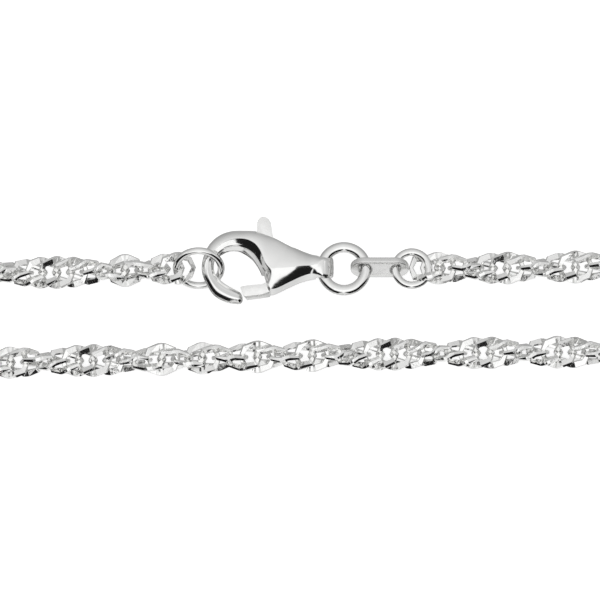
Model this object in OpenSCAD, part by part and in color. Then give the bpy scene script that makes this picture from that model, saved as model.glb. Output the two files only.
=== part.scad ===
// A twisted curb chain necklace with a lobster clasp, lying on its side on a table.
// +X runs along the two strands, +Z up; the origin is on the table under the middle of the loop.

/* [Loop] */
// Length of the loop that the middle of the chain lies in
loop_len = 194; // [188:1:200]
// Width of that loop at its two wide ends
loop_w = 42; // [40:0.5:44]

/* [Chain] */
// Width of the chain over its widest turns
chain_w = 2.6; // [2.2:0.1:3]
// Outside width of the link that each end of the chain hangs on
end_link_w = 2.3; // [2.1:0.1:2.6]
// Wire of the links
link_wire = 0.5; // [0.4:0.05:0.55]

/* [End ring] */
// Outside diameter of the ring that the clasp hooks on to
end_ring_od = 4.05; // [3.9:0.05:4.4]
// Wire of that ring
end_ring_wire = 0.52; // [0.44:0.02:0.6]
// Lean of that ring, with its far side over the hook and its near side under it
end_ring_lean = 41.5; // [40:0.5:44]

/* [Clasp] */
// Length of the clasp body from the hook's bend to the tail
clasp_len = 10.65; // [10:0.05:11.5]
// Width of the clasp body across the hook's opening
clasp_w = 5.9; // [5.6:0.05:6.4]
// Thickness of the clasp body at its crown
clasp_t = 2.76; // [2.6:0.02:3.2]
// Bore of the eye in the tail
eye_d = 1.38; // [1.34:0.02:1.5]
// Metal between the eye and the end of the tail
eye_wall = 0.19; // [0.15:0.01:0.4]

/* [Lever] */
// Thickness of the lever
lever_t = 0.9; // [0.7:0.05:1]
// Room between the lever and the sides of its slot
slot_clear = 0.1; // [0.06:0.02:0.16]
// Width of the gate arm
gate_w = 1.14; // [0.9:0.02:1.3]
// Gap between the shut gate and the tip of the hook
tip_gap = 0.1; // [0.06:0.02:0.2]
// Width of the thumb tab where it leaves the body
tab_w = 1.25; // [1:0.05:1.3]
// Width of the thumb tab at its end
tab_end_w = 0.9; // [0.7:0.05:1]
// Reach of the thumb tab from the pin
tab_reach = 5.5; // [5.1:0.1:6]
// Lean of the thumb tab away from the tail
tab_lean = 13; // [11:1:14]
// Angle that the lever opens through
open_angle = 28; // [20:1:28]
// Diameter of the lever's pin
pin_d = 0.5; // [0.4:0.02:0.6]

/* [Rings and tag] */
// Outside diameter of the ring in the clasp's tail
clasp_ring_od = 4.24; // [4:0.04:4.6]
// Wire of that ring
clasp_ring_wire = 0.86; // [0.76:0.02:0.88]
// Outside diameter of the ring between the tag and the chain
tag_ring_od = 3.3; // [3.1:0.05:3.6]
// Wire of that ring
tag_ring_wire = 0.62; // [0.54:0.02:0.66]
// Lean of both rings against the tag
ring_lean = 9; // [8:1:12]
// Length of the tag
tag_len = 4.64; // [4.5:0.04:5.2]
// Width of the tag
tag_w = 2.1; // [2:0.05:2.4]
// Thickness of the tag
tag_t = 0.42; // [0.3:0.02:0.46]
// Lean of the tag, with its far edge up
tag_lean = 55; // [52:1:60]
// Distance between the tag's two holes
hole_pitch = 2.46; // [2.4:0.02:2.6]
// Diameter of the tag's holes
hole_d = 1.38; // [1.34:0.02:1.44]

/* [Hidden] */

$fn = 48;
silver = [0.86, 0.86, 0.87];

// Points that the middle of the chain runs through, x and y, from the end ring round to the tag ring.
CHAIN_ROUTE = [
    [-14, 3.3], [-24, 3.2], [-34, 4.4], [-45, 8.6], [-56, 14.1], [-66, 18.9], [-76, 21],
    [-86, 18.5], [-94, 10.8], [-97, 0], [-94, -10.8], [-86, -18.5],
    [-76, -21], [-66, -19], [-56, -14.5], [-45, -9.2], [-34, -5.3], [-24, -4.1],
    [-12, -3.8], [0, -3.5], [12, -3.3],
    [24, -3.3], [34, -4.6], [45, -8.7], [56, -14.2], [66, -18.9], [76, -21],
    [86, -18.5], [94, -10.8], [97, 0], [94, 10.8], [86, 18.5],
    [76, 21], [66, 19], [56, 14.3], [45, 8.9], [34, 4.8], [24, 3.7], [16, 3.5]
];
route_x = [for (p = CHAIN_ROUTE) p[0]];
route_y = [for (p = CHAIN_ROUTE) p[1]];
loop_scale = [loop_len / (max(route_x) - min(route_x)), loop_w / (max(route_y) - min(route_y))];
strand_y = 3.5;             // the strand that the clasp is in
tail_x = 2.78;              // end of the clasp's tail
piece_gap = 0.15;           // between pieces that lie loose against each other

// Heights: the leaning end ring and the clasp both rest on the table.
end_ring_r = (end_ring_od - end_ring_wire) / 2;
mid_z = max(clasp_t / 2, end_ring_r * sin(end_ring_lean) + end_ring_wire / 2);

// Sections of the clasp body from the tip of the hook round to the tail. Along is a share of
// clasp_len from the hook's bend, across a share of clasp_w from the hook's near side, for the
// section's outer and inner edge; depth is a share of clasp_t.
OUT_ALONG = 0;
OUT_ACROSS = 1;
IN_ALONG = 2;
IN_ACROSS = 3;
DEPTH = 4;
BODY_SECTIONS = [
    [0.308, 0.020, 0.283, 0.185, 0.29],
    [0.205, 0.030, 0.210, 0.250, 0.32],
    [0.107, 0.125, 0.151, 0.325, 0.30],
    [0.041, 0.266, 0.106, 0.400, 0.30],
    [0.006, 0.415, 0.094, 0.497, 0.30],
    [0.006, 0.578, 0.101, 0.601, 0.30],
    [0.041, 0.772, 0.127, 0.690, 0.31],
    [0.116, 0.913, 0.177, 0.727, 0.42],
    [0.214, 0.988, 0.229, 0.748, 0.55],
    [0.327, 1.000, 0.301, 0.737, 0.68],
    [0.417, 0.982, 0.360, 0.669, 0.79],
    [0.492, 0.931, 0.409, 0.566, 0.88],
    [0.567, 0.877, 0.449, 0.419, 0.95],
    [0.627, 0.818, 0.477, 0.266, 0.99],
    [0.672, 0.776, 0.533, 0.110, 1.00],
    [0.721, 0.737, 0.653, 0.205, 0.97],
    [0.770, 0.700, 0.735, 0.271, 0.89],
    [0.823, 0.666, 0.815, 0.313, 0.79],
    [0.875, 0.649, 0.875, 0.327, 0.72],
    [0.935, 0.632, 0.935, 0.334, 0.71],
    [0.984, 0.598, 0.984, 0.361, 0.66],
    [1.000, 0.558, 1.000, 0.402, 0.50]
];
// Shape of each section: share of the way from its outer to its inner edge, and share of its depth.
SECTION_SHAPE = [
    [0.00, -0.40], [0.00, 0.40], [0.07, 0.70], [0.22, 0.92], [0.44, 1.00], [0.64, 0.94],
    [0.90, 0.66], [1.00, 0.38], [1.00, -0.38],
    [0.92, -0.66], [0.72, -0.92], [0.44, -1.00], [0.20, -0.90], [0.06, -0.68]
];

// The clasp's own corner, from which the shares above are measured.
tail_middle = 0.48;
clasp_x0 = tail_x - clasp_len;
clasp_y0 = strand_y - tail_middle * clasp_w;

// Eye and the rings that follow it. The ring's bend inside the tail takes up part of the bore.
tail_share = 0.3;
tail_w = tail_share * clasp_w;
clasp_ring_r = (clasp_ring_od - clasp_ring_wire) / 2;
eye_x = tail_x - eye_wall - eye_d / 2;
ring_sag = clasp_ring_r - sqrt(pow(clasp_ring_r, 2) - pow(tail_w / 2, 2));
ring_seat = 0.65;
clasp_ring_x = eye_x - ring_seat * ring_sag + clasp_ring_r;
tag_x = clasp_ring_x + clasp_ring_r + hole_pitch / 2;
tag_ring_r = (tag_ring_od - tag_ring_wire) / 2;
tag_ring_x = tag_x + hole_pitch / 2 + tag_ring_r;

// The end ring hangs inside the hook's bend.
hook_bend = 0.1;
hook_clear = 0.24;
end_ring_x = clasp_x0 + hook_bend * clasp_len + hook_clear + end_ring_wire / 2 - end_ring_r;

// Ends of the chain, just short of the rings that its end links go through.
chain_r = chain_w / 2;
chain_sides = 8;
chain_z = chain_r * cos(180 / chain_sides);
end_link_r = (end_link_w - link_wire) / 2;
chain_start_x = end_ring_x - end_ring_r - end_ring_wire / 2 - piece_gap;
chain_end_x = tag_ring_x + tag_ring_r + tag_ring_wire / 2 + piece_gap;

// Lever: everything is measured from its pin. The gate points at the tip of the hook.
pin_along = 0.57;
pin_across = 0.29;
pin_x = clasp_x0 + pin_along * clasp_len;
pin_y = clasp_y0 + pin_across * clasp_w;
hub_r = 0.5;
pin_clear = 0.05;
seat_clear = 0.02;
slot_t = lever_t + 2 * slot_clear;
pin_bite = 0.34;
pin_foot = 0.39;
pin_from_z = mid_z - pin_foot * clasp_t;
pin_to_z = mid_z + slot_t / 2 + pin_bite;
function clasp_place(along, across) = [clasp_x0 + along * clasp_len, clasp_y0 + across * clasp_w];
tip_row = BODY_SECTIONS[0];
tip_outer = clasp_place(tip_row[OUT_ALONG], tip_row[OUT_ACROSS]);
tip_inner = clasp_place(tip_row[IN_ALONG], tip_row[IN_ACROSS]);
gate_aim = 0.25;
gate_way = between(tip_inner, tip_outer, gate_aim) - [pin_x, pin_y];
gate_len = norm(gate_way) - tip_gap;
gate_turn = atan2(gate_way[1], gate_way[0]);
slot_reach = 2.3;
sweep_steps = 4;

// Outline of the gate arm: share of its length from the pin, and share of its width.
GATE_SHAPE = [
    [0, 0.30], [0.35, 0.30], [0.97, 0.50], [0.97, -0.28], [0.91, -0.56], [0.68, -0.70], [0.28, -0.80]
];

function between(a, b, t) = a + (b - a) * t;

// A smooth curve through p1 and p2 that also heeds the points on either side.
function curve_point(p0, p1, p2, p3, t) =
    0.5 * (2 * p1 + (p2 - p0) * t + (2 * p0 - 5 * p1 + 4 * p2 - p3) * t * t
        + (3 * p1 - p0 - 3 * p2 + p3) * t * t * t);

function smooth_route(points, steps) =
    let (last = len(points) - 1)
    concat(
        [for (i = [0:last - 1]) for (k = [0:steps - 1])
            curve_point(
                points[max(i - 1, 0)], points[i],
                points[i + 1], points[min(i + 2, last)], k / steps)],
        [points[last]]
    );

// Side faces of a skin of closed rings, each with n points, and its two end faces.
function skin_faces(rings, n) = concat(
    [[for (j = [0:n - 1]) n - 1 - j]],
    [for (i = [0:rings - 2]) for (j = [0:n - 1]) [i * n + j, i * n + (j + 1) % n, (i + 1) * n + j]],
    [for (i = [0:rings - 2]) for (j = [0:n - 1])
        [i * n + (j + 1) % n, (i + 1) * n + (j + 1) % n, (i + 1) * n + j]],
    [[for (j = [0:n - 1]) (rings - 1) * n + j]]
);

// A ring of wire lying flat at the origin.
module wire_ring(r, wire) {
    rotate_extrude() translate([r, 0]) circle(d = wire);
}

// Middle of the chain, with a ring of points every half route step.
chain_loop = [for (p = CHAIN_ROUTE) [p[0] * loop_scale[0], p[1] * loop_scale[1]]];
chain_line = smooth_route(
    concat([[chain_start_x, strand_y]], chain_loop, [[chain_end_x, strand_y]]), 2);

function chain_way(i) =
    chain_line[min(i + 1, len(chain_line) - 1)] - chain_line[max(i - 1, 0)];

function chain_ring(i) =
    let (
        way = chain_way(i) / norm(chain_way(i)),
        side = [way[1], -way[0]]
    )
    [for (j = [0:chain_sides - 1])
        let (turn = (j + 0.5) * 360 / chain_sides)
        [
            chain_line[i][0] + side[0] * chain_r * cos(turn),
            chain_line[i][1] + side[1] * chain_r * cos(turn),
            chain_z + chain_r * sin(turn)
        ]];

// The link that hangs on the ring at x.
module end_link(x) {
    translate([x, strand_y, mid_z]) rotate([90, 0, 0]) wire_ring(end_link_r, link_wire);
}

module chain() {
    rings = len(chain_line);
    color(silver) {
        polyhedron(
            points = [for (i = [0:rings - 1]) each chain_ring(i)],
            faces = skin_faces(rings, chain_sides)
        );
        end_link(end_ring_x - end_ring_r);
        end_link(tag_ring_x + tag_ring_r);
    }
}

module end_ring() {
    color(silver) translate([end_ring_x, strand_y, mid_z]) rotate([end_ring_lean, 0, 0])
        wire_ring(end_ring_r, end_ring_wire);
}

body_rows = smooth_route(BODY_SECTIONS, 2);

// Points of one section of the clasp body.
function body_section(row) =
    let (
        outer = clasp_place(row[OUT_ALONG], row[OUT_ACROSS]),
        inner = clasp_place(row[IN_ALONG], row[IN_ACROSS])
    )
    [for (p = SECTION_SHAPE)
        let (place = between(outer, inner, p[0]))
        [place[0], place[1], mid_z + p[1] * row[DEPTH] * clasp_t / 2]];

module clasp_skin() {
    polyhedron(
        points = [for (row = body_rows) each body_section(row)],
        faces = skin_faces(len(body_rows), len(SECTION_SHAPE))
    );
}

// The gate arm's outline, grown by spare and cut off at the given reach.
module gate_outline(spare, reach) {
    rotate(gate_turn) polygon([for (p = GATE_SHAPE)
        [
            min(p[0] * gate_len + (p[0] > 0.5 ? spare : -spare), reach),
            -p[1] * gate_w - sign(p[1]) * spare
        ]]);
}

// The bar and thumb tab, pointing away from the gate, grown by spare.
module tab_outline(spare) {
    end_y = tab_reach - tab_end_w / 2;
    rotate(tab_lean) {
        polygon([
            [-tab_w / 2 - spare, -spare], [tab_w / 2 + spare, -spare],
            [tab_end_w / 2 + spare, end_y], [-tab_end_w / 2 - spare, end_y]
        ]);
        translate([0, end_y]) circle(r = tab_end_w / 2 + spare);
    }
}

module lever_outline(spare, reach) {
    circle(r = hub_r + spare);
    gate_outline(spare, reach);
    tab_outline(spare);
}

// The space that the lever sweeps, kept short of the tip of the hook.
module lever_slot() {
    translate([pin_x, pin_y, mid_z - slot_t / 2]) linear_extrude(slot_t)
        for (k = [0:sweep_steps])
            rotate(-k * open_angle / sweep_steps) lever_outline(slot_clear, slot_reach);
}

// The hole that the pin is pressed into, open at the back.
module pin_seat() {
    back_z = mid_z - clasp_t;
    translate([pin_x, pin_y, back_z])
        cylinder(d = pin_d + 2 * seat_clear, h = pin_to_z + seat_clear - back_z);
}

// The eye runs across the tail.
module eye() {
    translate([eye_x, strand_y + clasp_w / 2, mid_z]) rotate([90, 0, 0])
        cylinder(d = eye_d, h = clasp_w);
}

module clasp_body() {
    color(silver) difference() {
        clasp_skin();
        lever_slot();
        pin_seat();
        eye();
    }
}

module clasp_lever() {
    color(silver) translate([pin_x, pin_y, mid_z - lever_t / 2]) difference() {
        linear_extrude(lever_t) lever_outline(0, clasp_len);
        translate([0, 0, -lever_t]) cylinder(d = pin_d + 2 * pin_clear, h = 3 * lever_t);
    }
}

module lever_pin() {
    color(silver) translate([pin_x, pin_y, pin_from_z]) cylinder(d = pin_d, h = pin_to_z - pin_from_z);
}

module clasp_ring() {
    color(silver) translate([clasp_ring_x, strand_y, mid_z]) rotate([-ring_lean, 0, 0])
        wire_ring(clasp_ring_r, clasp_ring_wire);
}

module tag() {
    straight = tag_len - tag_w;
    color(silver) translate([tag_x, strand_y, mid_z]) rotate([tag_lean, 0, 0]) translate([0, 0, -tag_t / 2])
        difference() {
            union() {
                translate([-straight / 2, -tag_w / 2, 0]) cube([straight, tag_w, tag_t]);
                translate([-straight / 2, 0, 0]) cylinder(d = tag_w, h = tag_t);
                translate([straight / 2, 0, 0]) cylinder(d = tag_w, h = tag_t);
            }
            for (side = [-1, 1])
                translate([side * hole_pitch / 2, 0, -tag_t]) cylinder(d = hole_d, h = 3 * tag_t);
        }
}

module tag_ring() {
    color(silver) translate([tag_ring_x, strand_y, mid_z]) rotate([-ring_lean, 0, 0])
        wire_ring(tag_ring_r, tag_ring_wire);
}

chain();
end_ring();
clasp_body();
clasp_lever();
lever_pin();
clasp_ring();
tag();
tag_ring();
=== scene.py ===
import math

import bpy
import numpy as np
from mathutils import Matrix, Vector


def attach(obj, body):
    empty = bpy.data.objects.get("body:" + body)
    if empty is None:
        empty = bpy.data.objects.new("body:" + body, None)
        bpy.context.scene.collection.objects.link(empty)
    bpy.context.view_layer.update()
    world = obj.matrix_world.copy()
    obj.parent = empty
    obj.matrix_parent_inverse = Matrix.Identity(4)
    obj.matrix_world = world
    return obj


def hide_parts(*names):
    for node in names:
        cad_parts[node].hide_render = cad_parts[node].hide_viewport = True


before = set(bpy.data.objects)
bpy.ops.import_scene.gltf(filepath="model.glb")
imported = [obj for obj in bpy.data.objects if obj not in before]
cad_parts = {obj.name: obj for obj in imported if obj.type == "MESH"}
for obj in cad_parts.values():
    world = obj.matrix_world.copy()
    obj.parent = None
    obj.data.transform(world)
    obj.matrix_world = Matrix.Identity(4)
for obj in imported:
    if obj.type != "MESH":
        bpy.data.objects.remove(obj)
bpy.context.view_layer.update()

# Sizes are in millimetres here and turned to metres where a mesh is made.
MM = 0.001


def add_node(tree, kind, inputs=None, **settings):
    """Adds a node, with its settings and with a value or a link for each named input."""
    node = tree.nodes.new(kind)
    for name, value in settings.items():
        setattr(node, name, value)
    for name, value in (inputs or {}).items():
        if isinstance(value, bpy.types.NodeSocket):
            tree.links.new(value, node.inputs[name])
        else:
            node.inputs[name].default_value = value
    return node


def linear(hex_colour):
    """Turns an sRGB hex value such as #F2F2F0 to the linear colour that a socket takes."""
    parts = [int(hex_colour[i:i + 2], 16) / 255 for i in (1, 3, 5)]
    return [p / 12.92 if p <= 0.04045 else ((p + 0.055) / 1.055) ** 2.4 for p in parts] + [1.0]


def smooth_through(points, steps):
    """A smooth line through the points, with the given steps between two of them."""
    points = np.array(points, dtype=float)
    last = len(points) - 1
    line = []
    for i in range(last):
        before, here = points[max(i - 1, 0)], points[i]
        there, after = points[i + 1], points[min(i + 2, last)]
        for k in range(steps):
            t = k / steps
            line.append(0.5 * (
                2 * here + (there - before) * t
                + (2 * before - 5 * here + 4 * there - after) * t * t
                + (3 * here - before - 3 * there + after) * t ** 3))
    line.append(points[last])
    return np.array(line)


def new_piece(name, points, faces, material=None, smooth=True, sharp_edges=()):
    """A mesh object from points in millimetres."""
    mesh = bpy.data.meshes.new(name)
    mesh.from_pydata((np.array(points) * MM).tolist(), [], [list(face) for face in faces])
    mesh.update()
    mesh.polygons.foreach_set("use_smooth", [smooth] * len(mesh.polygons))
    if sharp_edges:
        wanted = {tuple(sorted(edge)) for edge in sharp_edges}
        for edge in mesh.edges:
            if tuple(sorted(edge.vertices)) in wanted:
                edge.use_edge_sharp = True
    if material:
        mesh.materials.append(material)
    piece = bpy.data.objects.new(name, mesh)
    bpy.context.scene.collection.objects.link(piece)
    return piece


def settle(piece):
    """Turns what a piece's modifiers make into its plain mesh."""
    graph = bpy.context.evaluated_depsgraph_get()
    mesh = bpy.data.meshes.new_from_object(piece.evaluated_get(graph))
    piece.modifiers.clear()
    old = piece.data
    piece.data = mesh
    bpy.data.meshes.remove(old)


def drop(thing):
    """Takes an object out of the scene for good."""
    bpy.data.objects.remove(thing, do_unlink=True)


def wrap_faces(rows, columns, rows_close=False):
    """Faces of a skin whose rows are closed rings of points."""
    faces = []
    for i in range(rows if rows_close else rows - 1):
        here, there = i * columns, (i + 1) % rows * columns
        for j in range(columns):
            side = (j + 1) % columns
            faces.append((here + j, there + j, there + side, here + side))
    return faces


def turned(points, lean, centre):
    """Leans points about the X axis by degrees and moves them to their centre."""
    a = math.radians(lean)
    turn = np.array([[1, 0, 0], [0, math.cos(a), -math.sin(a)], [0, math.sin(a), math.cos(a)]])
    return np.array(points) @ turn.T + np.array(centre)


# Places, the same as in the part's source.
STRAND_Y = 3.5
MID_Z = 1.4295
CLASP_LEN, CLASP_W, CLASP_T = 10.65, 5.9, 2.76
CLASP_CORNER = np.array([-7.87, 0.668])
PIN = np.array([-1.7995, 2.379])
END_RING = {"x": -8.07, "y": 3.49, "radius": 1.79, "wire": 0.57, "lean": 39.5}
CLASP_RING = {"x": 3.505, "y": 3.445, "radius": 1.735, "wire": 0.87, "lean": -9}
TAG_RING = {"x": 8.917, "y": 3.46, "radius": 1.34, "wire": 0.62, "lean": -9}
TAG = {"x": 6.347, "y": 3.56, "length": 4.64, "width": 2.16, "thick": 0.5, "lean": 55}
TAG_HOLES = [(-1.13, 1.04, 1.3), (1.23, 0.8, 1.1)]      # place along the tag, width, height
EYE = {"x": 1.86, "bore": 1.2}

CHAIN_ROUTE = [
    (-14, 3.3), (-24, 3.2), (-34, 4.4), (-45, 8.6), (-56, 14.1), (-66, 18.9), (-76, 21),
    (-86, 18.5), (-94, 10.8), (-97, 0), (-94, -10.8), (-86, -18.5),
    (-76, -21), (-66, -19), (-56, -14.5), (-45, -9.2), (-34, -5.3), (-24, -4.1),
    (-12, -3.8), (0, -3.5), (12, -3.3),
    (24, -3.3), (34, -4.6), (45, -8.7), (56, -14.2), (66, -18.9), (76, -21),
    (86, -18.5), (94, -10.8), (97, 0), (94, 10.8), (86, 18.5),
    (76, 21), (66, 19), (56, 14.3), (45, 8.9), (34, 4.8), (24, 3.7), (16, 3.5),
]


# Camera: straight down on the clasp, 48 mm across the picture.
PICTURE_ACROSS = 48.0
PICTURE_MIDDLE_Y = 0.96
CAMERA_UP = 400.0
SENSOR_WIDTH = 36.0
lens = bpy.data.cameras.new("camera")
lens.sensor_width = SENSOR_WIDTH
lens.lens = lens.sensor_width * CAMERA_UP / PICTURE_ACROSS
camera = bpy.data.objects.new("camera", lens)
camera.location = (0.0, PICTURE_MIDDLE_Y * MM, CAMERA_UP * MM)
bpy.context.scene.collection.objects.link(camera)
bpy.context.scene.camera = camera


# Finishes.
CLOUD_RANGE = (0.35, 0.7)       # between these a noise value goes from the least haze to the most


def silver(name, colour, polish, haze, haze_size, grain, grain_size):
    """Sterling silver. Polish is its roughness, haze how much that wanders over haze_size mm, and
    grain the height in mm of the fine unevenness of grain_size mm that its making leaves."""
    material = bpy.data.materials.new(name)
    material.use_nodes = True
    tree = material.node_tree
    shader = tree.nodes["Principled BSDF"]
    shader.inputs["Metallic"].default_value = 1.0
    place = add_node(tree, "ShaderNodeTexCoord").outputs["Object"]
    cloud = add_node(tree, "ShaderNodeTexNoise", {
        "Vector": place, "Scale": 1 / (haze_size * MM), "Detail": 3.0, "Roughness": 0.6})
    rough = add_node(tree, "ShaderNodeMapRange", {
        "Value": cloud.outputs["Fac"], "From Min": CLOUD_RANGE[0], "From Max": CLOUD_RANGE[1],
        "To Min": polish, "To Max": polish + haze})
    tree.links.new(rough.outputs["Result"], shader.inputs["Roughness"])
    tone = add_node(tree, "ShaderNodeMix", {
        "Factor": cloud.outputs["Fac"], "A": linear(colour[0]), "B": linear(colour[1])},
        data_type="RGBA")
    tree.links.new(tone.outputs["Result"], shader.inputs["Base Color"])
    fine = add_node(tree, "ShaderNodeTexNoise", {
        "Vector": place, "Scale": 1 / (grain_size * MM), "Detail": 1.5, "Roughness": 0.5})
    relief = add_node(tree, "ShaderNodeBump", {
        "Height": fine.outputs["Fac"], "Distance": grain * MM, "Strength": 1.0})
    tree.links.new(relief.outputs["Normal"], shader.inputs["Normal"])
    return material


FINISHES = {
    # Links whose flats are turned bright with a diamond tool: mirror facets, slightly uneven.
    "diamond_cut_silver": silver(
        "diamond-cut sterling silver", ("#FAFAF9", "#F3F3F2"), 0.1, 0.08, 0.6, 0.013, 0.2),
    # Drawn wire, bent to rings and tumbled: a soft haze over a mirror.
    "polished_silver": silver(
        "polished sterling silver wire", ("#F5F5F4", "#ECECEB"), 0.03, 0.04, 0.8, 0.003, 0.35),
    # Lost-wax casting, filed and buffed: long soft waves are left in the mirror.
    "cast_silver": silver(
        "cast and buffed sterling silver", ("#F5F5F4", "#ECECEB"), 0.08, 0.07, 1.2, 0.012, 0.9),
    # Stamped from sheet: flatter and greyer than the buffed pieces, with a fine grain.
    "stamped_silver": silver(
        "stamped sterling silver", ("#EFEFEE", "#E4E4E3"), 0.2, 0.1, 0.5, 0.006, 0.18),
}


def only_finish(piece, finish):
    """Gives a piece this finish and takes off what it had."""
    piece.data.materials.clear()
    piece.data.materials.append(FINISHES[finish])


# Chain.
WIRE_SIDES = 6
LINK = {
    "half_length": 1.30,    # to the middle of the wire
    "half_width": 1.02,
    "end_bend": 0.62,       # radius of the bends at its two ends
    "side_bend": 0.66,      # radius of the bends at its two sides
    "saddle": 1.0,          # rise per square millimetre of length times width
    "thick": 0.30,
    "wire": 0.38,           # width of the wire at the link's two ends
    "flat": 0.62,           # and where it is cut flat, at its two sides
    "slant": 0.08,          # width of the slanted cuts along the flats
    "cut": 0.03,            # how much thicker and thinner the cuts leave the flats by turns
}
SLOPE_ROUNDS = 20
CHAIN_FROM_X = -9.58
CHAIN_TO_X = 9.952
CHAIN_Z = 1.33
LINK_PITCH = 1.09
END_PLAY = 0.2
GUIDE_STEPS = 30


def link_plan():
    """The link seen from above: four straight bars with wide round bends between them."""
    long, wide = LINK["half_length"], LINK["half_width"]
    end, side = LINK["end_bend"], LINK["side_bend"]
    # The bars' slope depends on what the bends cut off, and that on the slope.
    slope = math.atan2(wide, long)
    for _ in range(SLOPE_ROUNDS):
        rise = wide + side * (1 / math.cos(slope) - 1)
        run = long + end * (1 / math.sin(slope) - 1)
        slope = math.atan2(rise, run)
    out = math.pi / 2 - slope
    halfway = (out + math.pi / 2) / 2
    quarter = [(long, 0.0), (long - end + end * math.cos(out), end * math.sin(out))]
    quarter += [(side * math.cos(a), wide - side + side * math.sin(a)) for a in (out, halfway)]
    flip = [(-x, y) for x, y in quarter[:0:-1]]
    half = quarter + [(0.0, wide)] + flip
    return half + [(-x, -y) for x, y in half]


def link_points():
    """One link: a ring bent like a saddle, of wire with six flat sides."""
    plan = link_plan()
    middles = np.array([(x, y, -LINK["saddle"] * x * y) for x, y in plan])
    points = []
    for k, middle in enumerate(middles):
        along = middles[(k + 1) % len(middles)] - middles[k - 1]
        along /= np.linalg.norm(along)
        face = np.array([LINK["saddle"] * middle[1], LINK["saddle"] * middle[0], 1.0])
        face -= face.dot(along) * along
        face /= np.linalg.norm(face)
        out = np.cross(along, face)
        side_share = math.sqrt(abs(middle[1]) / LINK["half_width"])
        broad = LINK["wire"] + (LINK["flat"] - LINK["wire"]) * side_share
        edge, top = broad / 2, broad / 2 - LINK["slant"]
        thick = LINK["thick"] + LINK["cut"] * (-1) ** k
        for across, high in (
                (edge, 0), (top, 0.5), (-top, 0.5), (-edge, 0), (-top, -0.5), (top, -0.5)):
            points.append(middle + out * across + face * high * thick)
    return points, len(plan)


def fitted(turns, length):
    """Half turns scaled to fill a length."""
    scale = length / sum(turns)
    return [turn * scale for turn in turns]


# Lengths of the chain's half turns, from one place where it stands on edge to the next. The
# stretches in the picture have the picture's own; the rest of the loop repeats a pattern.
UNSEEN_TURNS = [5.9, 3.5, 6.8, 8.0, 3.6, 3.9, 4.4, 8.3, 4.8, 6.5, 4.3] * 3
HALF_TURNS = (
    [4.735, 2.97, 8.37] + fitted(UNSEEN_TURNS, 180.39)
    + [7.64, 3.6, 3.61, 4.2, 4.5, 8.4, 6.42, 6.18] + fitted(UNSEEN_TURNS, 176.2)
    + [5.5, 5.81, 4.0]
)
FIRST_ON_EDGE = -1.9


def chain_guide():
    """The chain's middle line, with the turn that it has at each point."""
    route = [(CHAIN_FROM_X, STRAND_Y), *CHAIN_ROUTE, (CHAIN_TO_X, STRAND_Y)]
    line = smooth_through(route, GUIDE_STEPS)
    along = np.concatenate([[0], np.cumsum(np.linalg.norm(np.diff(line, axis=0), axis=1))])
    on_edge = FIRST_ON_EDGE + np.concatenate([[0], np.cumsum(HALF_TURNS)])
    turn = math.pi / 2 + math.pi * np.interp(along, on_edge, np.arange(len(on_edge)))
    points = np.column_stack([line, np.full(len(line), CHAIN_Z)])
    mesh = bpy.data.meshes.new("chain guide")
    steps = [(i, i + 1) for i in range(len(points) - 1)]
    mesh.from_pydata((points * MM).tolist(), steps, [])
    attribute = mesh.attributes.new("turn", "FLOAT", "POINT")
    attribute.data.foreach_set("value", turn)
    guide = bpy.data.objects.new("chain guide", mesh)
    bpy.context.scene.collection.objects.link(guide)
    return guide, along[-1]


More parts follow.
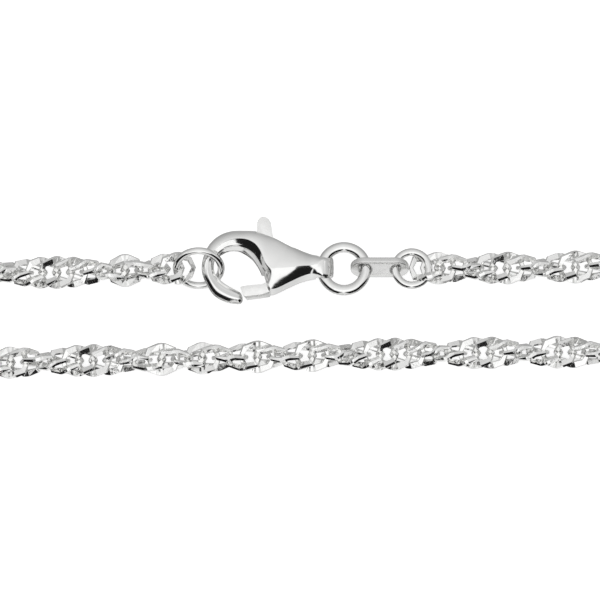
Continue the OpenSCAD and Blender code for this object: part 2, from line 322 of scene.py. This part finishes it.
def link_tree():
    """Geometry Nodes: links in a row, bent to the guide and turned by the guide's turn."""
    tree = bpy.data.node_groups.new("links along a guide", "GeometryNodeTree")
    for name, kind in (
            ("Link", "NodeSocketObject"), ("Guide", "NodeSocketObject"),
            ("Links", "NodeSocketInt"), ("Pitch", "NodeSocketFloat"),
            ("End play", "NodeSocketFloat"), ("Finish", "NodeSocketMaterial")):
        tree.interface.new_socket(name, in_out="INPUT", socket_type=kind)
    tree.interface.new_socket("Chain", in_out="OUTPUT", socket_type="NodeSocketGeometry")
    asked = add_node(tree, "NodeGroupInput").outputs
    link = add_node(tree, "GeometryNodeObjectInfo", {"Object": asked["Link"]})
    guide = add_node(tree, "GeometryNodeObjectInfo", {"Object": asked["Guide"]})
    step = add_node(tree, "ShaderNodeCombineXYZ", {"X": asked["Pitch"]})
    row = add_node(tree, "GeometryNodeMeshLine", {
        "Count": asked["Links"], "Offset": step.outputs[0]})

    # The last link at each end has slid back on its neighbours.
    number = add_node(tree, "GeometryNodeInputIndex").outputs[0]
    last = add_node(tree, "ShaderNodeMath", {0: asked["Links"], 1: 1.0}, operation="SUBTRACT")
    is_first = add_node(tree, "FunctionNodeCompare", {
        "A": number, "B": 0}, data_type="INT", operation="EQUAL")
    is_last = add_node(tree, "FunctionNodeCompare", {
        "A": number, "B": last.outputs[0]}, data_type="INT", operation="EQUAL")
    ends = add_node(tree, "ShaderNodeMath", {
        0: is_first.outputs[0], 1: is_last.outputs[0]}, operation="SUBTRACT")
    slide = add_node(tree, "ShaderNodeMath", {
        0: ends.outputs[0], 1: asked["End play"]}, operation="MULTIPLY")
    slid = add_node(tree, "ShaderNodeCombineXYZ", {"X": slide.outputs[0]})
    places = add_node(tree, "GeometryNodeSetPosition", {
        "Geometry": row.outputs[0], "Offset": slid.outputs[0]})
    laid = add_node(tree, "GeometryNodeInstanceOnPoints", {
        "Points": places.outputs[0], "Instance": link.outputs["Geometry"]})
    real = add_node(tree, "GeometryNodeRealizeInstances", {"Geometry": laid.outputs[0]})

    # Each point's X is its place along the guide, whose turn rolls its Y and Z.
    curve = add_node(tree, "GeometryNodeMeshToCurve", {"Mesh": guide.outputs["Geometry"]})
    turn = add_node(tree, "GeometryNodeInputNamedAttribute", {"Name": "turn"}, data_type="FLOAT")
    point = add_node(tree, "GeometryNodeInputPosition").outputs[0]
    place = add_node(tree, "ShaderNodeSeparateXYZ", {0: point})
    found = add_node(tree, "GeometryNodeSampleCurve", {
        "Curves": curve.outputs[0], "Value": turn.outputs["Attribute"],
        "Length": place.outputs["X"]}, mode="LENGTH", use_all_curves=True, data_type="FLOAT")
    section = add_node(tree, "ShaderNodeCombineXYZ", {
        "Y": place.outputs["Y"], "Z": place.outputs["Z"]})
    rolled = add_node(tree, "ShaderNodeVectorRotate", {
        "Vector": section.outputs[0], "Angle": found.outputs["Value"]}, rotation_type="X_AXIS")
    rolled_parts = add_node(tree, "ShaderNodeSeparateXYZ", {0: rolled.outputs[0]})
    side = add_node(tree, "ShaderNodeVectorMath", {
        0: (0, 0, 1), 1: found.outputs["Tangent"]}, operation="CROSS_PRODUCT")
    aside = add_node(tree, "ShaderNodeVectorMath", {
        0: side.outputs[0], "Scale": rolled_parts.outputs["Y"]}, operation="SCALE")
    raised = add_node(tree, "ShaderNodeCombineXYZ", {"Z": rolled_parts.outputs["Z"]})
    off = add_node(tree, "ShaderNodeVectorMath", {
        0: aside.outputs[0], 1: raised.outputs[0]}, operation="ADD")
    whole = add_node(tree, "ShaderNodeVectorMath", {
        0: found.outputs["Position"], 1: off.outputs[0]}, operation="ADD")

    # Past the guide's ends the links go on straight.
    length = add_node(tree, "GeometryNodeCurveLength", {"Curve": curve.outputs[0]})
    kept = add_node(tree, "ShaderNodeClamp", {
        "Value": place.outputs["X"], "Min": 0.0, "Max": length.outputs[0]})
    past = add_node(tree, "ShaderNodeMath", {
        0: place.outputs["X"], 1: kept.outputs[0]}, operation="SUBTRACT")
    ahead = add_node(tree, "ShaderNodeVectorMath", {
        0: found.outputs["Tangent"], "Scale": past.outputs[0]}, operation="SCALE")
    final = add_node(tree, "ShaderNodeVectorMath", {
        0: whole.outputs[0], 1: ahead.outputs[0]}, operation="ADD")
    bent = add_node(tree, "GeometryNodeSetPosition", {
        "Geometry": real.outputs[0], "Position": final.outputs[0]})
    finished = add_node(tree, "GeometryNodeSetMaterial", {
        "Geometry": bent.outputs[0], "Material": asked["Finish"]})
    add_node(tree, "NodeGroupOutput", {"Chain": finished.outputs[0]})
    return tree


def make_chain():
    """All the links of the chain, as one piece."""
    points, stations = link_points()
    faces = wrap_faces(stations, WIRE_SIDES, rows_close=True)
    link = new_piece("one link", points, faces, smooth=False)
    guide, length = chain_guide()
    count = round(length / LINK_PITCH) + 1
    tree = link_tree()
    chain = bpy.data.objects.new("chain_links", bpy.data.meshes.new("chain_links"))
    bpy.context.scene.collection.objects.link(chain)
    modifier = chain.modifiers.new("links", "NODES")
    modifier.node_group = tree
    values = {
        "Link": link, "Guide": guide, "Links": count, "Pitch": length / (count - 1) * MM,
        "End play": END_PLAY * MM, "Finish": FINISHES["diamond_cut_silver"]}
    for item in tree.interface.items_tree:
        if item.in_out == "INPUT":
            modifier[item.identifier] = values[item.name]
    settle(chain)
    drop(link)
    drop(guide)
    return chain


# Rings of round wire.
RING_STEPS, WIRE_STEPS = 96, 20
# At the soldered joint the wire swells, with a fine groove in the middle: each as a share of the
# wire's thickness and how far it reaches along the wire.
JOINT_SWELL, JOINT_REACH = 0.035, 0.3
GROOVE_DEPTH, GROOVE_REACH = 0.06, 0.05


def wire_ring(name, ring, joint_at):
    """A ring of round wire, soldered together at joint_at degrees round it."""
    points = []
    for i in range(RING_STEPS):
        t = 2 * math.pi * i / RING_STEPS
        degrees_off = abs((math.degrees(t) - joint_at + 180) % 360 - 180)
        off = degrees_off * math.pi / 180 * ring["radius"]
        swell = (
            1 + JOINT_SWELL * math.exp(-(off / JOINT_REACH) ** 2)
            - GROOVE_DEPTH * math.exp(-(off / GROOVE_REACH) ** 2))
        for j in range(WIRE_STEPS):
            a = 2 * math.pi * j / WIRE_STEPS
            reach = ring["radius"] + ring["wire"] / 2 * swell * math.cos(a)
            height = ring["wire"] / 2 * swell * math.sin(a)
            points.append((reach * math.cos(t), reach * math.sin(t), height))
    points = turned(points, ring["lean"], (ring["x"], ring["y"], MID_Z))
    faces = wrap_faces(RING_STEPS, WIRE_STEPS, rows_close=True)
    return new_piece(name, points, faces, FINISHES["polished_silver"])


# Clasp body. Sections from the tip of the hook to the tail: outer edge, inner edge and depth, as
# shares of the clasp's length, width and thickness, then where the crest and the second edge run,
# as shares of the way in, how much of a rim there is under the second edge, and the slope in
# degrees of the facet that goes down from that edge into the mouth.
BODY_SECTIONS = [
    (0.275, -0.010, 0.274, 0.169, 0.29, 0.47, 0.50, 0.0, 30),
    (0.192, 0.012, 0.210, 0.232, 0.32, 0.47, 0.50, 0.0, 30),
    (0.098, 0.102, 0.150, 0.307, 0.30, 0.47, 0.50, 0.0, 30),
    (0.037, 0.262, 0.106, 0.400, 0.30, 0.47, 0.50, 0.0, 28),
    (0.006, 0.415, 0.094, 0.497, 0.30, 0.47, 0.50, 0.0, 24),
    (0.008, 0.578, 0.106, 0.598, 0.30, 0.47, 0.50, 0.0, 20),
    (0.048, 0.765, 0.149, 0.652, 0.33, 0.46, 0.49, 0.0, 14),
    (0.121, 0.905, 0.187, 0.687, 0.42, 0.43, 0.46, 0.0, 12),
    (0.217, 0.976, 0.232, 0.704, 0.55, 0.39, 0.42, 0.0, 14),
    (0.325, 0.985, 0.292, 0.691, 0.68, 0.35, 0.38, 0.0, 28),
    (0.417, 0.975, 0.352, 0.633, 0.79, 0.42, 0.45, 0.0, 29),
    (0.492, 0.931, 0.397, 0.553, 0.88, 0.53, 0.56, 0.0, 32),
    (0.567, 0.877, 0.443, 0.419, 0.95, 0.69, 0.72, 0.0, 58),
    (0.627, 0.818, 0.466, 0.266, 0.99, 0.61, 0.70, 0.20, 38),
    (0.650, 0.797, 0.491, 0.172, 1.00, 0.50, 0.89, 0.75, 40),
    (0.672, 0.776, 0.533, 0.110, 1.00, 0.44, 0.86, 1.0, 50),
    (0.721, 0.737, 0.653, 0.205, 0.97, 0.45, 0.83, 1.0, 50),
    (0.770, 0.700, 0.735, 0.271, 0.89, 0.44, 0.79, 1.0, 50),
    (0.823, 0.666, 0.815, 0.313, 0.79, 0.42, 0.74, 0.9, 50),
    (0.868, 0.650, 0.868, 0.327, 0.77, 0.36, 0.78, 0.6, 50),
    (0.900, 0.641, 0.900, 0.328, 0.71, 0.20, 0.84, 0.12, 50),
    (0.922, 0.638, 0.922, 0.329, 0.64, 0.14, 0.88, 0.0, 50),
    (0.946, 0.634, 0.946, 0.331, 0.51, 0.14, 0.88, 0.0, 50),
    (0.966, 0.628, 0.966, 0.337, 0.35, 0.14, 0.88, 0.0, 50),
    (0.979, 0.620, 0.979, 0.346, 0.21, 0.14, 0.88, 0.0, 50),
    (0.985, 0.608, 0.985, 0.358, 0.11, 0.14, 0.88, 0.0, 50),
]
BODY_STEPS = 8          # rows from one section to the next
DOME_STEPS, FACET_STEPS, WALL_STEPS = 9, 5, 10
DOME_POWER = 1.25       # above 1 makes the dome leaner than a circle
BAND_FROM, BAND_MOST = 0.4, 0.3     # depth from which the dome has an upright side, and how high
FACET_FALL = 0.02       # how far the narrow facet behind the crest falls, as a share of the depth
RIM_HIGH = 0.70         # height of the rim's upper edge, as a share of the depth
WALL_FACET = 0.44       # share of the wall that is the slanted facet
WALL_STEP = 0.50        # share of the wall where the level line under that facet ends
MOST_SLANT = 0.5        # the facet falls no further than this share of the depth
LIP_STEEP = (0.76, 0.97)            # the lip's steep part: share of its width and of its fall
RIM_STEEP = (0.9, 0.95)             # and the rim's
WALL_HASTE = 1.06       # above 1 brings the wall to the inner edge before its last point
SHARP_ROWS = (5 * BODY_STEPS, 18 * BODY_STEPS + 4)      # the rows where the edges are crisp
END_ANGLES = (0.42, 0.84, 1.2)      # places of the rings that round the two ends, in radians
TIP_OUT, TAIL_OUT = 0.41, 0.07      # how far the two ends are rounded out


def steep_fall(t, wide, fall):
    """From 1 at t = 0 to 0 at t = 1, with the given fall in the first wide part."""
    if t <= wide:
        return 1 - fall * t / wide
    return (1 - fall) * (1 - t) / (1 - wide)


def body_half(row, span):
    """Upper half of one section, from its outer to its inner edge: share of the way in, height."""
    depth, crest, second, rim, slope = row[4:9]
    side_band = min(BAND_MOST, max(0.0, depth - BAND_FROM))
    half = []
    for k in range(DOME_STEPS):
        # The first two points stand one over the other, as the side band.
        a = math.pi / 2 * max(0, k - 1) / (DOME_STEPS - 1)
        high = side_band + (1 - side_band) * math.sin(a) ** DOME_POWER
        half.append((crest * (1 - math.cos(a) ** DOME_POWER), high if k else 0.0))
    facet_fall = FACET_FALL * (1 - rim) + (1 - RIM_HIGH) * rim
    for k in range(FACET_STEPS):
        t = k / FACET_STEPS
        half.append((crest + (second - crest) * t, 1.0 - facet_fall * (t + t * t) / 2))
    corner = 1.0 - facet_fall
    wall_wide, half_depth = (1 - second) * span, depth * CLASP_T / 2
    slant = math.tan(math.radians(slope)) * WALL_FACET * wall_wide / half_depth
    slant_fall = min(MOST_SLANT, slant)
    for k in range(WALL_STEPS + 1):
        t = k / WALL_STEPS
        # Into the mouth: a slanted facet, a level line, and a steep round lip.
        if t <= WALL_FACET:
            wall_high = 1 - slant_fall * t / WALL_FACET
        elif t <= WALL_STEP:
            wall_high = 1 - slant_fall
        else:
            u = (t - WALL_STEP) / (1 - WALL_STEP)
            wall_high = (1 - slant_fall) * steep_fall(u, *LIP_STEEP)
        # On the outside: a steep even rim.
        high = wall_high * (1 - rim) + steep_fall(t, *RIM_STEEP) * rim
        half.append((second + (1 - second) * min(1.0, t * WALL_HASTE), corner * high))
    return half


def round_end(points, faces, columns, row, order, out):
    """Closes the skin at a row with rings that shrink to a point; order is 1 at the tip and -1
    at the tail, where the rows run the other way."""
    previous = list(range(row * columns, (row + 1) * columns))
    beside = points[(row + order) * columns:(row + order + 1) * columns]
    edge = [np.array(points[i]) for i in previous]
    here = np.mean(edge, axis=0)
    away = here - np.mean(beside, axis=0)
    away /= np.linalg.norm(away)
    for a in END_ANGLES:
        start = len(points)
        points.extend(
            tuple(here + (point - here) * math.cos(a) + away * (out * math.sin(a)))
            for point in edge)
        fresh = list(range(start, start + columns))
        for j in range(columns):
            side = (j + 1) % columns
            faces.append((previous[j], previous[side], fresh[side], fresh[j])[::order])
        previous = fresh
    points.append(tuple(here + away * out))
    tip = len(points) - 1
    for j in range(columns):
        faces.append((previous[j], previous[(j + 1) % columns], tip)[::order])


def make_clasp_body():
    """The cast body, still without the lever's slot, the tail eye and the pin's seat."""
    rows = smooth_through(BODY_SECTIONS, BODY_STEPS)
    points = []
    for row in rows:
        outer = CLASP_CORNER + row[0:2] * (CLASP_LEN, CLASP_W)
        inner = CLASP_CORNER + row[2:4] * (CLASP_LEN, CLASP_W)
        half = body_half(row, np.linalg.norm(inner - outer))
        loop = half + [(share, -high) for share, high in half[-2:0:-1]]
        for share, high in loop:
            place = outer + (inner - outer) * share
            points.append((place[0], place[1], MID_Z + high * row[4] * CLASP_T / 2))
    columns = len(loop)
    faces = wrap_faces(len(rows), columns)
    round_end(points, faces, columns, 0, 1, TIP_OUT)
    round_end(points, faces, columns, len(rows) - 1, -1, TAIL_OUT)
    sharp = []
    for column in (DOME_STEPS, DOME_STEPS + FACET_STEPS):
        for line in (column, columns - column):
            sharp += [
                (i * columns + line, (i + 1) * columns + line) for i in range(*SHARP_ROWS)]
    return new_piece(
        "clasp_body_dressed", points, faces, FINISHES["cast_silver"], sharp_edges=sharp)


# Lever. Outlines round the pin; the gate's lower side slopes out from its face to its middle.
LEVER_T, HUB_R = 0.9, 0.42
PIN_HOLE_R = 0.3
GATE_FACE = [
    (0.0, 0.34), (-0.6, 0.12), (-1.24, -0.16), (-1.90, -0.21), (-2.71, -0.29), (-2.97, -0.39),
    (-2.73, -1.03), (-2.60, -1.13), (-1.24, -0.98), (-0.7, -0.80), (0.0, -0.42)]
GATE_MIDDLE = GATE_FACE[:6] + [
    (-2.63, -1.18), (-2.41, -1.45), (-1.24, -1.30), (-0.62, -1.19), (0.0, -0.42)]
TAB = [
    (0.6, -0.14), (-0.39, 3.78), (-0.53, 4.78), (-0.70, 5.03), (-0.92, 5.18), (-1.13, 5.22),
    (-1.32, 5.18), (-1.51, 5.0), (-1.62, 4.74), (-1.62, 3.70), (-1.25, 2.4), (-0.6, 0.14)]
# The room that the clasp body leaves for the lever, at every angle up to the widest.
SLOT_CLEAR, SLOT_REACH = 0.05, 2.3
OPEN_ANGLE, OPEN_STEPS = 28, 4
PIN_SEAT_R, PIN_SEAT_TOP = 0.27, 0.91
FAR = 99.0              # further than any outline reaches
THROUGH = 3.0           # half the length of a bore's cutting rod
DISC_STEPS, ROD_STEPS, BORE_STEPS = 24, 32, 40
# Rounded edges: their widths, and the angles in degrees from which a corner is rounded and from
# which one that is left stays sharp.
LEVER_EDGE, TAG_EDGE = 0.09, 0.08
EDGE_STEPS, ROUND_FROM, SHARP_FROM = 3, 35, 40


def flat_turn(points, degrees):
    """Turns flat points to the left about their middle."""
    a = math.radians(degrees)
    return [
        (x * math.cos(a) - y * math.sin(a), x * math.sin(a) + y * math.cos(a))
        for x, y in points]


def grown(outline, spare, reach=FAR):
    """The outline, which runs round its middle to the left, moved out by a spare width."""
    points = np.array(outline)
    ahead = np.roll(points, -1, axis=0) - points
    out = np.column_stack([ahead[:, 1], -ahead[:, 0]]) / np.linalg.norm(ahead, axis=1)[:, None]
    out_before = np.roll(out, 1, axis=0)
    corner = (out + out_before) / (1 + np.sum(out * out_before, axis=1))[:, None]
    return [(max(x, -reach), y) for x, y in points + corner * spare]


def disc_outline(radius):
    """The hub's round outline."""
    angles = [2 * math.pi * k / DISC_STEPS for k in range(DISC_STEPS)]
    return [(radius * math.cos(a), radius * math.sin(a)) for a in angles]


def plate(name, outline, thick, place, turn=0.0, middle=None):
    """A flat plate with the given outline, which may swell to another outline at its middle."""
    layers = [(-thick / 2, outline)] + ([(0.0, middle)] if middle else [])
    layers.append((thick / 2, outline))
    n, last = len(outline), len(layers) - 1
    points = [
        (place[0] + x, place[1] + y, place[2] + z)
        for z, around in layers for x, y in flat_turn(around, turn)]
    faces = [tuple(range(n))[::-1], tuple(range(last * n, last * n + n))]
    for k in range(last):
        low, high = k * n, (k + 1) * n
        faces += [(low + j, low + (j + 1) % n, high + (j + 1) % n, high + j) for j in range(n)]
    return new_piece(name, points, faces, smooth=False)


def combine(piece, tools, operation):
    """Joins tools to a piece or cuts them out of it, exactly, and drops them."""
    for tool in tools:
        modifier = piece.modifiers.new(operation, "BOOLEAN")
        modifier.operation, modifier.solver, modifier.object = operation, "EXACT", tool
        modifier.use_self = False
    settle(piece)
    for tool in tools:
        drop(tool)


def lever_plates(turn, spare=0.0, reach=FAR):
    """The gate, the tab and the hub; with a spare width they are the room that these need."""
    place, thick = (PIN[0], PIN[1], MID_Z), LEVER_T + 2 * spare
    gate, gate_middle = grown(GATE_FACE, spare, reach), grown(GATE_MIDDLE, spare, reach)
    return [
        plate("lever part", gate, thick, place, turn, gate_middle),
        plate("lever part", grown(TAB, spare), thick, place, turn),
        plate("lever part", disc_outline(HUB_R + spare), thick, place, turn)]


def rod(name, radius, start, end, steps=ROD_STEPS):
    """A round rod between two points."""
    start, end = Vector(start), Vector(end)
    turn = (end - start).to_track_quat("Z", "Y").to_matrix()
    points = []
    for centre in (start, end):
        for k in range(steps):
            a = 2 * math.pi * k / steps
            spoke = Vector((radius * math.cos(a), radius * math.sin(a), 0))
            points.append(tuple(centre + turn @ spoke))
    faces = [tuple(range(steps))[::-1], tuple(range(steps, 2 * steps))]
    faces += [
        (j, (j + 1) % steps, steps + (j + 1) % steps, steps + j) for j in range(steps)]
    return new_piece(name, points, faces, smooth=False)


def round_edges(piece, width):
    """Rounds a piece's corners and shades it smooth, but for the corners that are left."""
    modifier = piece.modifiers.new("rounded edges", "BEVEL")
    modifier.width, modifier.segments = width * MM, EDGE_STEPS
    modifier.limit_method, modifier.angle_limit = "ANGLE", math.radians(ROUND_FROM)
    modifier.use_clamp_overlap = True
    settle(piece)
    piece.data.polygons.foreach_set("use_smooth", [True] * len(piece.data.polygons))
    piece.data.set_sharp_from_angle(angle=math.radians(SHARP_FROM))


def cut_clasp_body(body):
    """Cuts the lever's room, the tail eye and the pin's seat into the clasp body."""
    rooms = []
    for k in range(OPEN_STEPS + 1):
        rooms += lever_plates(-k * OPEN_ANGLE / OPEN_STEPS, SLOT_CLEAR, SLOT_REACH)
    combine(rooms[0], rooms[1:], "UNION")
    eye = rod(
        "eye", EYE["bore"] / 2, (EYE["x"], STRAND_Y - THROUGH, MID_Z),
        (EYE["x"], STRAND_Y + THROUGH, MID_Z), BORE_STEPS)
    pin_seat = rod(
        "pin seat", PIN_SEAT_R, (PIN[0], PIN[1], MID_Z - CLASP_T),
        (PIN[0], PIN[1], MID_Z + PIN_SEAT_TOP))
    combine(body, [rooms[0], eye, pin_seat], "DIFFERENCE")
    only_finish(body, "cast_silver")


def make_lever():
    """The lever with its gate closed, and the hole for its pin."""
    parts = lever_plates(0.0)
    lever = parts[0]
    combine(lever, parts[1:], "UNION")
    hole = rod("pin hole", PIN_HOLE_R, (PIN[0], PIN[1], MID_Z - 1), (PIN[0], PIN[1], MID_Z + 1))
    combine(lever, [hole], "DIFFERENCE")
    lever.name = "lever_dressed"
    only_finish(lever, "stamped_silver")
    round_edges(lever, LEVER_EDGE)
    return lever


# Tag.
TAG_END_STEPS = 24


def make_tag():
    """A plate with round ends and two holes, leaning between its rings."""
    half, radius = (TAG["length"] - TAG["width"]) / 2, TAG["width"] / 2
    outline = []
    for centre, start in ((half, -90), (-half, 90)):
        for k in range(TAG_END_STEPS + 1):
            a = math.radians(start + 180 * k / TAG_END_STEPS)
            outline.append((centre + radius * math.cos(a), radius * math.sin(a)))
    tag = plate("tag_dressed", outline, TAG["thick"], (0, 0, 0))
    holes = []
    for along, wide, high in TAG_HOLES:
        # A bore 1 mm wide, drawn out to the hole's own width and height.
        hole = rod("tag hole", 0.5, (0, 0, -1), (0, 0, 1), BORE_STEPS)
        place = Matrix.Translation(Vector((along, 0, 0)) * MM)
        hole.data.transform(place @ Matrix.Diagonal((wide, high, 1, 1)))
        holes.append(hole)
    combine(tag, holes, "DIFFERENCE")
    only_finish(tag, "stamped_silver")
    round_edges(tag, TAG_EDGE)
    lean = Matrix.Rotation(math.radians(TAG["lean"]), 4, "X")
    tag.data.transform(Matrix.Translation(Vector((TAG["x"], TAG["y"], MID_Z)) * MM) @ lean)
    return tag


# The pieces. The third value of a ring is the angle of its soldered joint.
chain = make_chain()
end_ring = wire_ring("end_ring_dressed", END_RING, 150)
clasp_ring = wire_ring("clasp_ring_dressed", CLASP_RING, 250)
tag_ring = wire_ring("tag_ring_dressed", TAG_RING, 100)
tag = make_tag()
lever = make_lever()
clasp_body = make_clasp_body()
cut_clasp_body(clasp_body)

for piece, body, node, slot in (
        (chain, "necklace", "chain", "diamond_cut_silver"),
        (end_ring, "necklace", "end_ring", "polished_silver"),
        (clasp_ring, "necklace", "clasp_ring", "polished_silver"),
        (tag_ring, "necklace", "tag_ring", "polished_silver"),
        (tag, "necklace", "tag", "stamped_silver"),
        (clasp_body, "necklace", "clasp_body", "cast_silver"),
        (lever, "lever", "clasp_lever", "stamped_silver")):
    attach(piece, body)
    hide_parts(node)

# The pin is the CAD's own.
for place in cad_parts["lever_pin"].material_slots:
    place.material = FINISHES["polished_silver"]


# Table and light. A direction here has length 1; a light of 1 is white in the picture.
TABLE_HALF, TABLE_Z = 8.0, -0.02 * MM       # in metres
TABLE_GLOW = 0.72
TENT_TOP = (0.0, -0.25, 0.968)      # where the tent is brightest
TENT_REACH = (-0.55, 0.97)          # along that direction the tent goes from its lowest light
TENT_LIGHT = (0.46, 0.95)           # to its highest
SIDE_SHADE = 0.14                   # how much darker the tent is at its two sides
# Direction, half width and soft rim in degrees, and light of each lamp in the tent.
STUDIO_LAMPS = [
    ((0.0, -0.36, 0.93), 12, 24, 0.2),
    ((-0.75, 0.1, 0.65), 5, 7, 0.4),
    ((0.85, 0.1, 0.5), 4, 6, 0.3),
]
# Bounds of soft zones, as parts of a direction: from the first, where the zone has no effect
# yet, to the second, where it has all of it.
LIT_TABLE = 0.3                     # light that the table in front throws back
LIT_LOW, LIT_FRONT = (0.05, -0.1), (0.0, -0.5)
DARK_LIGHT = 0.012
DARK_TOP, DARK_BOTTOM, DARK_FRONT = (0.82, 0.76), (-0.42, -0.33), (-0.16, -0.30)
DARK_BESIDE = (0.23, 0.34)          # the gap in the middle of the dark
GAP_LEAN = 0.34                     # how fast that gap narrows upwards


def make_table():
    """A white table that is seen and catches light."""
    material = bpy.data.materials.new("white table")
    material.use_nodes = True
    shader = material.node_tree.nodes["Principled BSDF"]
    shader.inputs["Base Color"].default_value = linear("#E8E8E8")
    shader.inputs["Roughness"].default_value = 0.8
    shader.inputs["Specular IOR Level"].default_value = 0.1
    shader.inputs["Emission Color"].default_value = linear("#FFFFFF")
    shader.inputs["Emission Strength"].default_value = TABLE_GLOW
    corners = [(x * TABLE_HALF, y * TABLE_HALF, TABLE_Z) for x, y in (
        (-1, -1), (1, -1), (1, 1), (-1, 1))]
    mesh = bpy.data.meshes.new("table")
    mesh.from_pydata(corners, [], [(0, 1, 2, 3)])
    mesh.materials.append(material)
    table = bpy.data.objects.new("table", mesh)
    bpy.context.scene.collection.objects.link(table)
    # What the silver mirrors below it is part of the tent.
    table.visible_glossy = False


def soft_zone(tree, edges):
    """1 where each edge's value has passed its second bound, 0 where one is before its first."""
    zone = 1.0
    for value, none, full in edges:
        part = add_node(tree, "ShaderNodeMapRange", {
            "Value": value, "From Min": none, "From Max": full}, interpolation_type="SMOOTHSTEP")
        zone = add_node(tree, "ShaderNodeMath", {
            0: zone, 1: part.outputs["Result"]}, operation="MULTIPLY").outputs[0]
    return zone


def studio_light():
    """A soft tent: greyer towards the table, a broad lamp overhead in front, dark low in front."""
    world = bpy.data.worlds.new("studio tent")
    bpy.context.scene.world = world
    world.use_nodes = True
    tree = world.node_tree
    back = tree.nodes["Background"]
    way = add_node(tree, "ShaderNodeTexCoord").outputs["Generated"]
    parts = add_node(tree, "ShaderNodeSeparateXYZ", {0: way}).outputs
    sideways = add_node(
        tree, "ShaderNodeMath", {0: parts["X"]}, operation="ABSOLUTE").outputs[0]

    to_top = add_node(tree, "ShaderNodeVectorMath", {0: way, 1: TENT_TOP}, operation="DOT_PRODUCT")
    tent = add_node(tree, "ShaderNodeMapRange", {
        "Value": to_top.outputs["Value"], "From Min": TENT_REACH[0], "From Max": TENT_REACH[1],
        "To Min": TENT_LIGHT[0], "To Max": TENT_LIGHT[1]}).outputs["Result"]
    shade = add_node(tree, "ShaderNodeMath", {0: sideways, 1: SIDE_SHADE}, operation="MULTIPLY")
    tent = add_node(tree, "ShaderNodeMath", {
        0: tent, 1: shade.outputs[0]}, operation="SUBTRACT").outputs[0]

    patches = []
    for direction, wide, soft, light in STUDIO_LAMPS:
        near = add_node(tree, "ShaderNodeVectorMath", {
            0: way, 1: Vector(direction).normalized()}, operation="DOT_PRODUCT").outputs["Value"]
        rim, core = math.cos(math.radians(wide + soft)), math.cos(math.radians(wide))
        patches.append((soft_zone(tree, [(near, rim, core)]), light))
    lit = soft_zone(tree, [(parts["Z"], *LIT_LOW), (parts["Y"], *LIT_FRONT)])
    patches.append((lit, LIT_TABLE))
    for zone, light in patches:
        spread = add_node(tree, "ShaderNodeMath", {0: zone, 1: light}, operation="MULTIPLY")
        tent = add_node(tree, "ShaderNodeMath", {
            0: tent, 1: spread.outputs[0]}, operation="ADD").outputs[0]

    # The dark stands low in front, with a gap in its middle that narrows upwards.
    leaning = add_node(tree, "ShaderNodeMath", {0: parts["Z"], 1: GAP_LEAN}, operation="MULTIPLY")
    beside = add_node(tree, "ShaderNodeMath", {
        0: leaning.outputs[0], 1: sideways}, operation="ADD").outputs[0]
    dark = soft_zone(tree, [
        (parts["Z"], *DARK_TOP), (parts["Z"], *DARK_BOTTOM),
        (parts["Y"], *DARK_FRONT), (beside, *DARK_BESIDE)])
    light = add_node(tree, "ShaderNodeMix", {0: dark, 2: tent, 3: DARK_LIGHT}, data_type="FLOAT")
    tree.links.new(light.outputs[0], back.inputs["Color"])
    back.inputs["Strength"].default_value = 1.0


make_table()
studio_light()
bpy.context.scene.view_settings.view_transform = "Standard"
